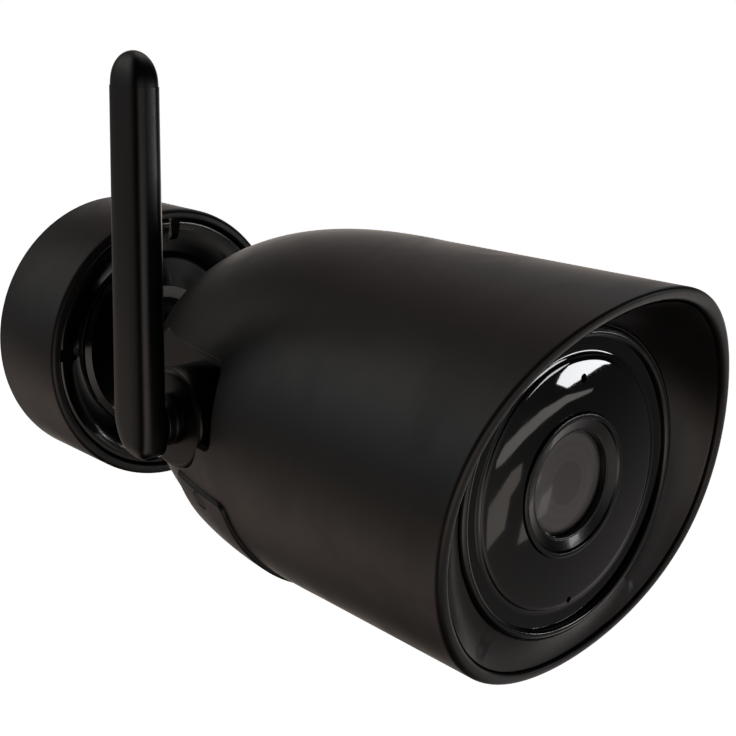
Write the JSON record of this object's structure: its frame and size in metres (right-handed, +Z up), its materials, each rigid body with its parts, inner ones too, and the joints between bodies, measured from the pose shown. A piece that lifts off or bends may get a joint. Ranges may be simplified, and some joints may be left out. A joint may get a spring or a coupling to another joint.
{
  "type": "security camera",
  "caption": "Outdoor bullet security camera with a hooded slanted front, round wall base, ball joint, clamp collar and swivelling rod antenna.",
  "frame": {"origin": "centre of the base pad's face that lies against the wall", "axes": "+Z up, +Y into the wall, the lens faces -Y, the antenna is on the -X side"},
  "size_m": [0.0881, 0.1722, 0.1148],
  "materials": {
    "seal_foam": "matte",
    "base_shell": "satin",
    "collar_gloss": "gloss",
    "bearing_acetal": "satin",
    "stem_black": "satin",
    "housing_shell": "satin",
    "window_ring": "gloss",
    "panel_gloss": "gloss",
    "lens_ring": "gloss",
    "lens_glass": "coated",
    "optics_black": "matte",
    "filter_glass": "coated",
    "board_green": "satin",
    "chip_black": "semi-gloss",
    "emitter_resin": "clear",
    "steel": "brushed",
    "aluminium": "satin",
    "connector_nylon": "satin",
    "chassis_plastic": "matte",
    "reset_red": "satin",
    "antenna_shell": "semi-gloss",
    "antenna_mount": "satin",
    "brass": "satin"
  },
  "bodies": {
    "base": {"base_pad": "seal_foam", "base_cup": "base_shell"},
    "collar": {"clamp_collar": "collar_gloss", "collar_liner": "bearing_acetal"},
    "shoe": {"friction_shoe": "bearing_acetal"},
    "ball": {"ball_stem": "stem_black", "stem_seal": "seal_foam", "stem_washer": "steel", "stem_nut": "steel"},
    "antenna": {"antenna_knuckle": "antenna_mount", "antenna_clip": "steel", "antenna_blade": "antenna_shell", "antenna_rod": "brass"},
    "reset": {"reset_button": "reset_red"},
    "card": {"memory_card": "chip_black"},
    "ir_cut": {"ir_cut_slide": "optics_black", "ir_filters": "filter_glass"},
    "camera": {"housing": "housing_shell", "face_bezel": "housing_shell", "window_ring": "window_ring", "panel_gasket": "seal_foam", "face_panel": "panel_gloss", "lens_ring": "lens_ring", "lens_window": "lens_glass", "lens_barrel": "optics_black", "lens_front": "lens_glass", "lens_rear": "lens_glass", "lens_holder": "optics_black", "image_sensor": "chip_black", "sensor_board": "board_green", "led_board": "board_green", "ir_leds": "emitter_resin", "light_sensor": "connector_nylon", "microphone": "steel", "chassis": "chassis_plastic", "chassis_screws": "steel", "main_board": "board_green", "processor": "chip_black", "heat_spreader": "aluminium", "wifi_module": "steel", "power_connector": "connector_nylon", "card_board": "board_green", "card_socket": "steel", "reset_switch": "optics_black", "hatch_cover": "housing_shell", "hatch_seal": "seal_foam", "hatch_screws": "steel", "cable_gland": "seal_foam", "gland_nut": "optics_black", "antenna_boss": "antenna_mount", "antenna_seal": "seal_foam"}
  },
  "joints": [
    {"name": "pan", "type": "hinge", "parent": "base", "child": "shoe", "pos_m": [0, -0.017, 0], "axis": [0, 0, 1], "range_deg": [-25, 25]},
    {"name": "tilt", "type": "hinge", "parent": "shoe", "child": "ball", "pos_m": [0, -0.017, 0], "axis": [1, 0, 0], "range_deg": [-25, 25]},
    {"name": "roll", "type": "hinge", "parent": "ball", "child": "camera", "pos_m": [0, -0.017, 0], "axis": [0, -1, 0], "range_deg": [-90, 90]},
    {"name": "collar_turn", "type": "hinge", "parent": "base", "child": "collar", "pos_m": [0, -0.017, 0], "axis": [0, -1, 0], "range_deg": [0, 60]},
    {"name": "antenna_swing", "type": "hinge", "parent": "camera", "child": "antenna", "pos_m": [-0.0411, -0.0797, 0.001], "axis": [1, 0, 0], "range_deg": [-30, 90]},
    {"name": "reset_press", "type": "slide", "parent": "camera", "child": "reset", "axis": [-0.7254, 0, -0.6884], "range_m": [-0.0006, 0], "stiffness_N_per_m": 300},
    {"name": "card_push", "type": "slide", "parent": "camera", "child": "card", "axis": [-0.7254, 0, -0.6884], "range_m": [-0.0008, 0], "stiffness_N_per_m": 300},
    {"name": "ir_cut_move", "type": "slide", "parent": "camera", "child": "ir_cut", "axis": [1, 0, 0], "range_m": [-0.007, 0]}
  ]
}
